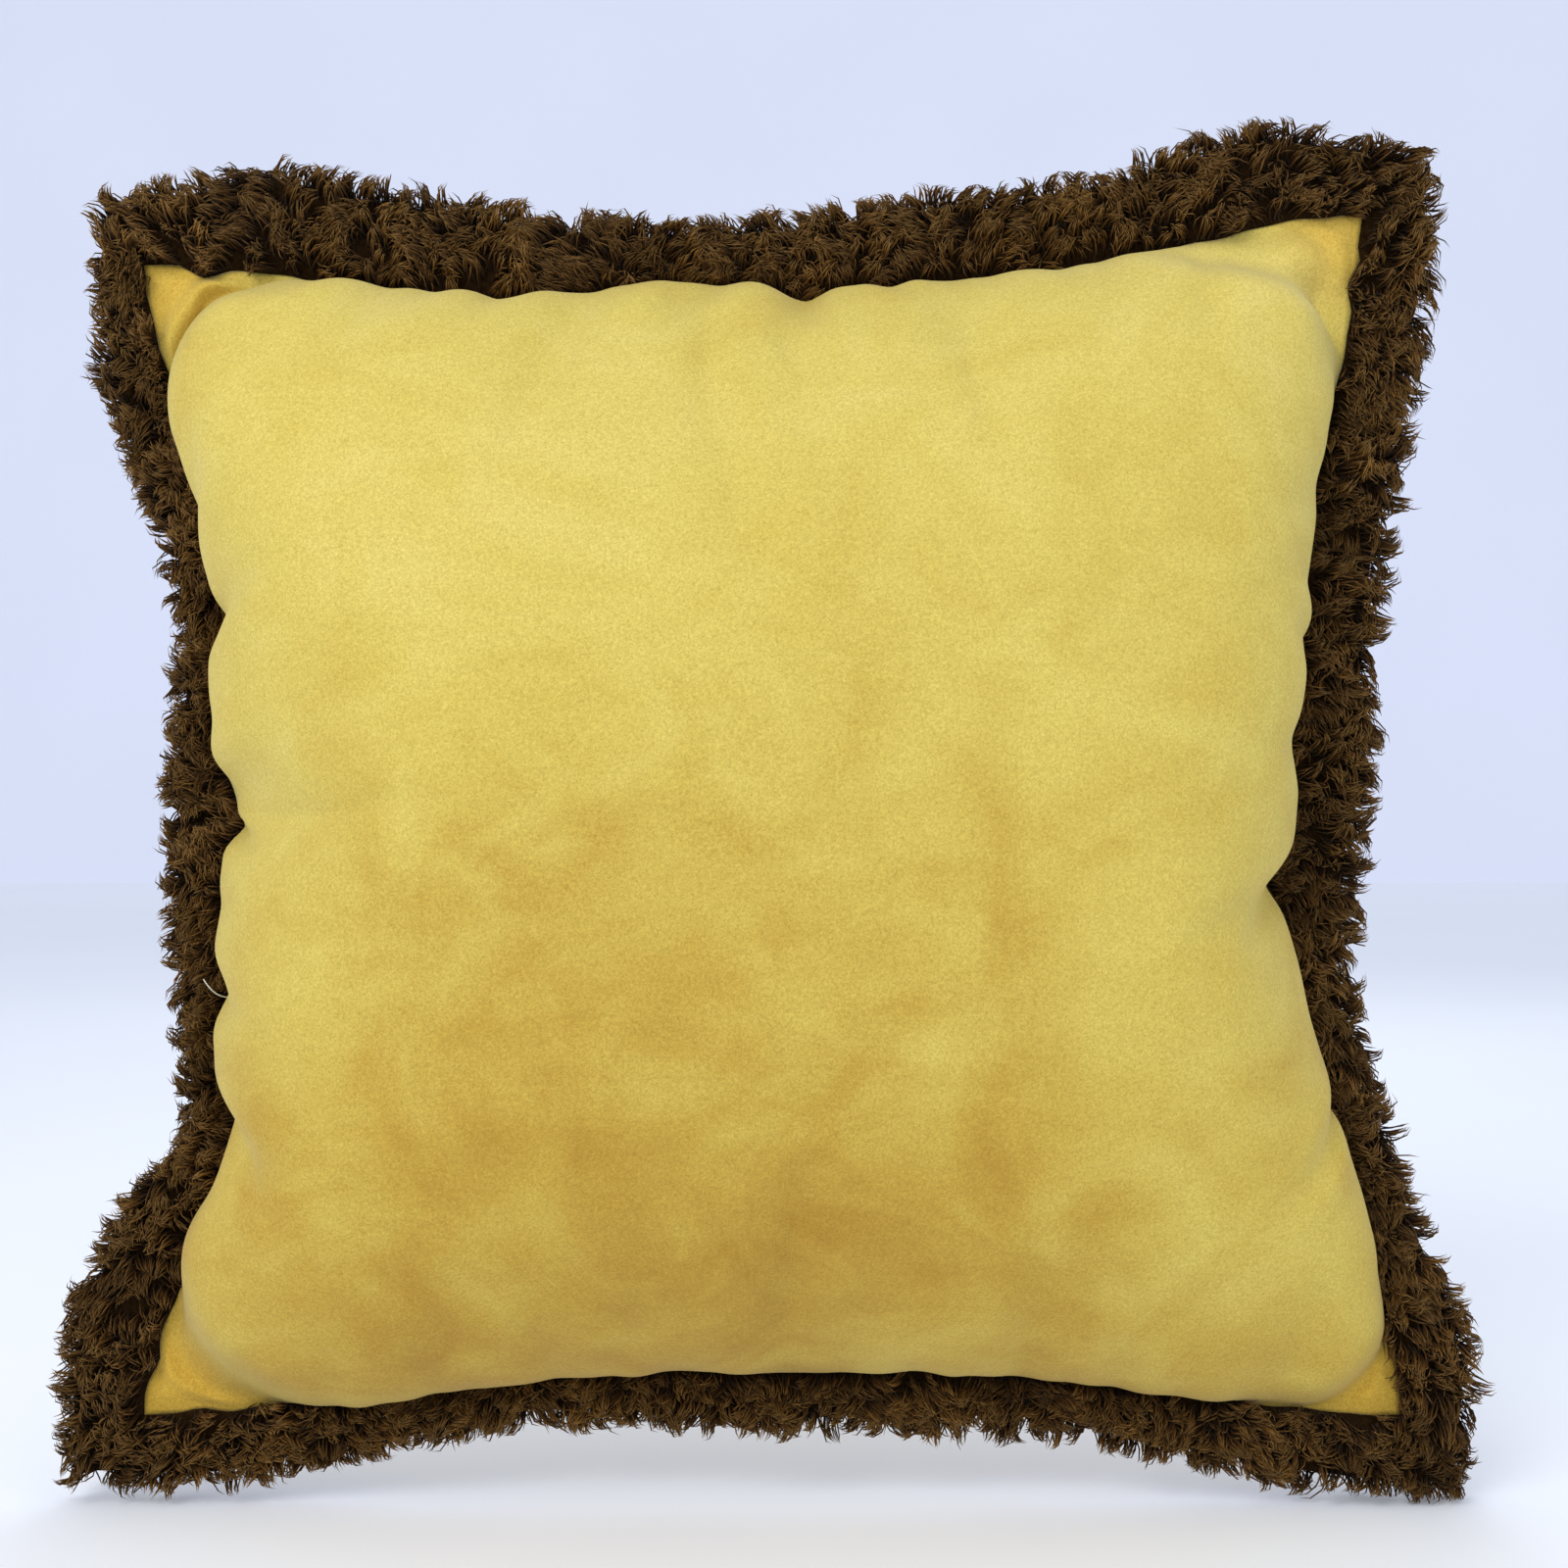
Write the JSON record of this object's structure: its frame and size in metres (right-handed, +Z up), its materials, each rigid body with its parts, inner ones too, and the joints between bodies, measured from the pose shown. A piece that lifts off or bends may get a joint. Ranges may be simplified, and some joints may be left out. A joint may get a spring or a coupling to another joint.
{
  "type": "throw pillow",
  "caption": "Square throw pillow in napped fabric with a furry flange sewn round its seam, a zipped back and a filled insert.",
  "frame": {"origin": "the centre of the bounding box's bottom, on the ground between the two lower corners that the pillow stands on", "axes": "+Z up, +X across the width, to the right seen from the front, -Y out of the plain front, +Y out of the zipped back"},
  "size_m": [0.4982, 0.1654, 0.4794],
  "materials": {
    "suede": "brushed nap",
    "pile": "curly pile",
    "cotton": "plain weave",
    "fibre": "loose fibre",
    "zip_tape": "herringbone weave",
    "zip_coil": "satin",
    "zip_metal": "polished",
    "thread": "spun thread",
    "satin": "satin ribbon"
  },
  "bodies": {
    "cover": {"front_panel": "suede", "back_panel_upper": "suede", "back_panel_lower": "suede", "fur_trim_top": "pile", "fur_trim_bottom": "pile", "fur_trim_left": "pile", "fur_trim_right": "pile", "closing_seam_thread": "thread", "insert_casing_front": "cotton", "insert_casing_back": "cotton", "fibre_filling": "fibre", "zip_tape_upper": "zip_tape", "zip_tape_lower": "zip_tape", "zip_coil_upper": "zip_coil", "zip_coil_lower": "zip_coil", "zip_stop_closed_end": "zip_metal", "zip_stop_open_end": "zip_metal", "bar_tack_left": "thread", "bar_tack_right": "thread", "topstitch_upper": "thread", "topstitch_lower": "thread", "care_label": "satin"},
    "slider": {"zip_slider": "zip_metal"},
    "pull": {"zip_pull": "zip_metal"}
  },
  "joints": [
    {"name": "zip_slide", "type": "hinge", "parent": "cover", "child": "slider", "pos_m": [0, -0.3554, 0.145], "axis": [0, 0, 1], "range_deg": [0, 37.43]},
    {"name": "pull_swing", "type": "hinge", "parent": "slider", "child": "pull", "pos_m": [0.13922, 0.05546, 0.14416], "axis": [0.9471, -0.3209, 0], "range_deg": [-8, 155]}
  ]
}
